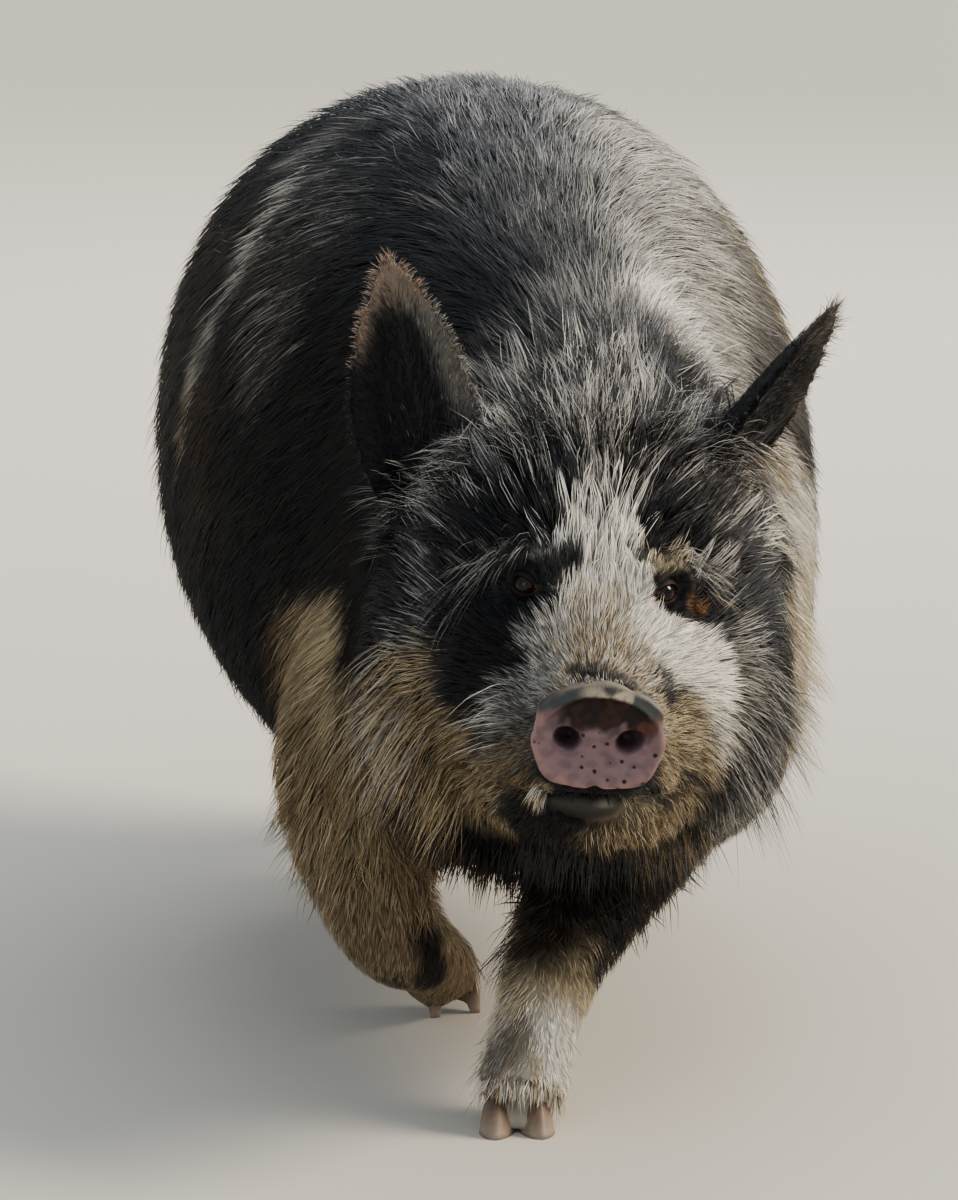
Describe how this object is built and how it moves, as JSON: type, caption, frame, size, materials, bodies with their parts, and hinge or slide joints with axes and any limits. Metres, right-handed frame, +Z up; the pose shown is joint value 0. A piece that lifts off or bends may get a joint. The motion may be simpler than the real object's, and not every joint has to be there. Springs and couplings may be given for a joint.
{
  "type": "pig",
  "caption": "Adult KuneKune pig in mid-walk: round low trunk on short legs, long hair, short dished snout with a flat disc, upright ears, tasselled tail.",
  "frame": {"origin": "on the floor, under the middle of the pig's bounding box", "axes": "+Z up; the pig faces -Y and its tail end is at +Y; +X is the pig's own left side"},
  "size_m": [0.5274, 1.3306, 0.69],
  "materials": {
    "coat_black": "long coarse black hair, lightly glossy, mixed with grey and white hairs",
    "coat_cream": "long coarse cream to ginger hair",
    "hide": "dark bare hide seen between the hairs, wrinkled and matt",
    "snout_skin": "moist pink snout disc with black spots and a grey rim",
    "eyes": "wet and glossy, dark brown iris",
    "claws": "worn tan horn, darker at the top"
  },
  "bodies": {
    "root": {"ear_left": "coat_black", "ear_right": "coat_black", "eye_left": "eyes", "eye_right": "eyes", "foreleg_left_claw_left": "claws", "foreleg_left_claw_right": "claws", "foreleg_left_dewclaw_left": "claws", "foreleg_left_dewclaw_right": "claws", "foreleg_left_lower": "coat_cream", "foreleg_left_upper": "coat_cream", "foreleg_right_claw_left": "claws", "foreleg_right_claw_right": "claws", "foreleg_right_dewclaw_left": "claws", "foreleg_right_dewclaw_right": "claws", "foreleg_right_lower": "coat_cream", "foreleg_right_upper": "coat_cream", "head": "coat_black", "hindleg_left_claw_left": "claws", "hindleg_left_claw_right": "claws", "hindleg_left_dewclaw_left": "claws", "hindleg_left_dewclaw_right": "claws", "hindleg_left_lower": "coat_cream", "hindleg_left_upper": "coat_black", "hindleg_right_claw_left": "claws", "hindleg_right_claw_right": "claws", "hindleg_right_dewclaw_left": "claws", "hindleg_right_dewclaw_right": "claws", "hindleg_right_lower": "coat_cream", "hindleg_right_upper": "coat_black", "lower_jaw": "coat_black", "neck": "coat_black", "snout": "snout_skin", "tail": "coat_black", "trunk_barrel": "coat_black", "trunk_chest": "coat_black", "trunk_rump": "coat_black"}
  },
  "joints": []
}
